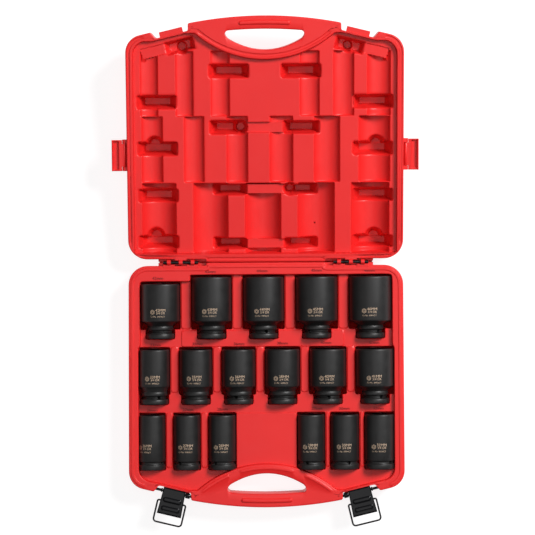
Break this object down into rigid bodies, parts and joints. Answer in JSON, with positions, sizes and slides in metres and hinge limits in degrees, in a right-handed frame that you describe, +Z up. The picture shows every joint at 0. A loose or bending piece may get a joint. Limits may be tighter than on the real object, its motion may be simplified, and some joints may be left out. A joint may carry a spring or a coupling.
{
  "type": "socket wrench set in case",
  "caption": "Open two-half plastic carry case holding deep impact sockets in moulded pockets, with draw latches, side clips, hinge rods and a handle.",
  "frame": {"origin": "middle of the base half's underside, half way between the hinge line and the handle's outer edge", "axes": "+X to the right along the hinge line, +Y from the base half towards the lid half, +Z up out of the open case"},
  "size_m": [0.4456, 0.7458, 0.0884],
  "materials": {
    "red_plastic": "satin moulded polyethylene with a fine grain",
    "black_phosphate": "black phosphate coated chrome-molybdenum steel, laser marked",
    "black_lacquer": "gloss black lacquered sheet steel",
    "dark_steel": "blackened steel rod and wire"
  },
  "bodies": {
    "base": {"base_shell": "red_plastic", "hinge_rod_left": "dark_steel", "hinge_rod_right": "dark_steel", "latch_pivot_left": "dark_steel", "latch_pivot_right": "dark_steel"},
    "lid": {"lid_shell": "red_plastic", "side_clip_pin_left": "dark_steel", "side_clip_pin_right": "dark_steel"},
    "latch_lever_left": {"latch_lever_left": "black_lacquer"},
    "latch_bail_left": {"latch_bail_left": "dark_steel"},
    "latch_lever_right": {"latch_lever_right": "black_lacquer"},
    "latch_bail_right": {"latch_bail_right": "dark_steel"},
    "side_clip_left": {"side_clip_left": "red_plastic"},
    "side_clip_right": {"side_clip_right": "red_plastic"},
    "socket_26mm": {"socket_26mm": "black_phosphate"},
    "socket_27mm": {"socket_27mm": "black_phosphate"},
    "socket_28mm": {"socket_28mm": "black_phosphate"},
    "socket_29mm": {"socket_29mm": "black_phosphate"},
    "socket_30mm": {"socket_30mm": "black_phosphate"},
    "socket_32mm": {"socket_32mm": "black_phosphate"},
    "socket_33mm": {"socket_33mm": "black_phosphate"},
    "socket_35mm": {"socket_35mm": "black_phosphate"},
    "socket_36mm": {"socket_36mm": "black_phosphate"},
    "socket_38mm": {"socket_38mm": "black_phosphate"},
    "socket_40mm": {"socket_40mm": "black_phosphate"},
    "socket_41mm": {"socket_41mm": "black_phosphate"},
    "socket_42mm": {"socket_42mm": "black_phosphate"},
    "socket_43mm": {"socket_43mm": "black_phosphate"},
    "socket_44mm": {"socket_44mm": "black_phosphate"},
    "socket_45mm": {"socket_45mm": "black_phosphate"},
    "socket_46mm": {"socket_46mm": "black_phosphate"}
  },
  "joints": [
    {"name": "lid_hinge", "type": "hinge", "parent": "base", "child": "lid", "pos_m": [0, 0.179, 0.045], "axis": [1, 0, 0], "range_deg": [0, 173]},
    {"name": "latch_lever_left_turn", "type": "hinge", "parent": "base", "child": "latch_lever_left", "pos_m": [-0.13563, -0.15713, 0.041], "axis": [0.9724, -0.2334, 0], "range_deg": [-60, 90]},
    {"name": "latch_bail_left_turn", "type": "hinge", "parent": "latch_lever_left", "child": "latch_bail_left", "pos_m": [-0.13902, -0.17123, 0.0425], "axis": [-0.9724, 0.2334, 0], "range_deg": [-90, 160]},
    {"name": "latch_lever_right_turn", "type": "hinge", "parent": "base", "child": "latch_lever_right", "pos_m": [0.13563, -0.15713, 0.041], "axis": [0.9724, 0.2334, 0], "range_deg": [-60, 90]},
    {"name": "latch_bail_right_turn", "type": "hinge", "parent": "latch_lever_right", "child": "latch_bail_right", "pos_m": [0.13902, -0.17123, 0.0425], "axis": [-0.9724, -0.2334, 0], "range_deg": [-90, 160]},
    {"name": "side_clip_left_turn", "type": "hinge", "parent": "lid", "child": "side_clip_left", "pos_m": [-0.20455, 0.33539, 0.05715], "axis": [0, 0.9925, 0.1219], "range_deg": [-30, 90]},
    {"name": "side_clip_right_turn", "type": "hinge", "parent": "lid", "child": "side_clip_right", "pos_m": [0.20455, 0.33539, 0.05715], "axis": [0, -0.9925, -0.1219], "range_deg": [-30, 90]},
    {"name": "socket_26mm_lift", "type": "slide", "parent": "base", "child": "socket_26mm", "axis": [0, 0, 1], "range_m": [0, 0.13]},
    {"name": "socket_27mm_lift", "type": "slide", "parent": "base", "child": "socket_27mm", "axis": [0, 0, 1], "range_m": [0, 0.13]},
    {"name": "socket_28mm_lift", "type": "slide", "parent": "base", "child": "socket_28mm", "axis": [0, 0, 1], "range_m": [0, 0.13]},
    {"name": "socket_29mm_lift", "type": "slide", "parent": "base", "child": "socket_29mm", "axis": [0, 0, 1], "range_m": [0, 0.13]},
    {"name": "socket_30mm_lift", "type": "slide", "parent": "base", "child": "socket_30mm", "axis": [0, 0, 1], "range_m": [0, 0.13]},
    {"name": "socket_32mm_lift", "type": "slide", "parent": "base", "child": "socket_32mm", "axis": [0, 0, 1], "range_m": [0, 0.13]},
    {"name": "socket_33mm_lift", "type": "slide", "parent": "base", "child": "socket_33mm", "axis": [0, 0, 1], "range_m": [0, 0.13]},
    {"name": "socket_35mm_lift", "type": "slide", "parent": "base", "child": "socket_35mm", "axis": [0, 0, 1], "range_m": [0, 0.13]},
    {"name": "socket_36mm_lift", "type": "slide", "parent": "base", "child": "socket_36mm", "axis": [0, 0, 1], "range_m": [0, 0.13]},
    {"name": "socket_38mm_lift", "type": "slide", "parent": "base", "child": "socket_38mm", "axis": [0, 0, 1], "range_m": [0, 0.13]},
    {"name": "socket_40mm_lift", "type": "slide", "parent": "base", "child": "socket_40mm", "axis": [0, 0, 1], "range_m": [0, 0.13]},
    {"name": "socket_41mm_lift", "type": "slide", "parent": "base", "child": "socket_41mm", "axis": [0, 0, 1], "range_m": [0, 0.13]},
    {"name": "socket_42mm_lift", "type": "slide", "parent": "base", "child": "socket_42mm", "axis": [0, 0, 1], "range_m": [0, 0.13]},
    {"name": "socket_43mm_lift", "type": "slide", "parent": "base", "child": "socket_43mm", "axis": [0, 0, 1], "range_m": [0, 0.13]},
    {"name": "socket_44mm_lift", "type": "slide", "parent": "base", "child": "socket_44mm", "axis": [0, 0, 1], "range_m": [0, 0.13]},
    {"name": "socket_45mm_lift", "type": "slide", "parent": "base", "child": "socket_45mm", "axis": [0, 0, 1], "range_m": [0, 0.13]},
    {"name": "socket_46mm_lift", "type": "slide", "parent": "base", "child": "socket_46mm", "axis": [0, 0, 1], "range_m": [0, 0.13]}
  ]
}
